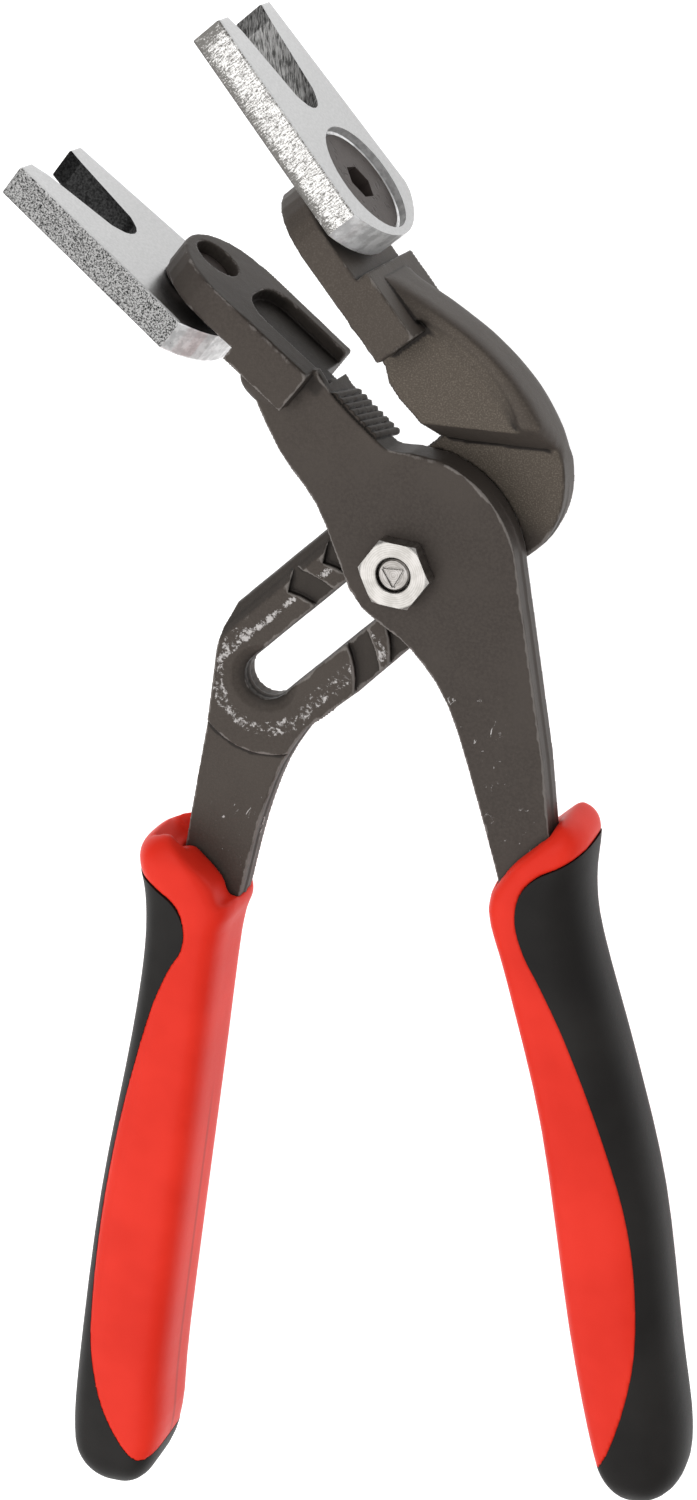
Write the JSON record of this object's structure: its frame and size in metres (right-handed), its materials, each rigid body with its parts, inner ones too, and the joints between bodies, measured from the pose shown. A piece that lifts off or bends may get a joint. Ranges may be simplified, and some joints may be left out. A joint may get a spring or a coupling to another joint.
{
  "type": "groove-joint pliers with fork jaws",
  "caption": "Slip-joint pliers: two forged arms cross at a slotted, notched pivot, and each jaw lug carries a swivelling chromed fork; two-tone sleeved handles.",
  "frame": {"origin": "centre of the pivot bolt head's flat outer face", "axes": "+Z along the pivot bolt towards the nut, +Y from the handles to the jaws, +X towards the right handle seen from the nut"},
  "size_m": [0.1301, 0.3006, 0.0304],
  "materials": {
    "arm_steel": "phosphated forging, dark brown-grey, satin",
    "zinc_steel": "zinc plated, turned rings",
    "chrome": "chromed, satin faces and milled sides",
    "black_steel": "black oxide",
    "red_plastic": "satin moulded",
    "black_rubber": "matt soft overmould"
  },
  "bodies": {
    "front": {"front_arm": "arm_steel", "right_grip_sleeve": "red_plastic", "right_grip_inlay": "black_rubber", "left_fork_screw": "black_steel", "left_fork_washer": "black_steel"},
    "bolt": {"pivot_bolt": "zinc_steel", "pivot_nut": "zinc_steel", "pivot_washer": "zinc_steel"},
    "rear": {"rear_arm": "arm_steel", "left_grip_sleeve": "red_plastic", "left_grip_inlay": "black_rubber", "right_fork_screw": "black_steel", "right_fork_washer": "black_steel"},
    "fork_left": {"left_fork": "chrome"},
    "fork_right": {"right_fork": "chrome"}
  },
  "joints": [
    {"name": "jaw_pivot", "type": "hinge", "parent": "front", "child": "bolt", "pos_m": [0, 0, 0.0116], "axis": [0, 0, 1], "range_deg": [-28, 11]},
    {"name": "slot_slide", "type": "slide", "parent": "bolt", "child": "rear", "axis": [0.749, 0.6626, 0], "range_m": [0, 0.0364]},
    {"name": "left_fork_swivel", "type": "hinge", "parent": "front", "child": "fork_left", "pos_m": [-0.0398, 0.0472, 0.0116], "axis": [0.6428, 0.766, 0], "range_deg": [-40, 39]},
    {"name": "right_fork_swivel", "type": "hinge", "parent": "rear", "child": "fork_right", "pos_m": [-0.0146, 0.0622, 0.0116], "axis": [0.7923, 0.6101, 0], "range_deg": [-41, 37]}
  ]
}
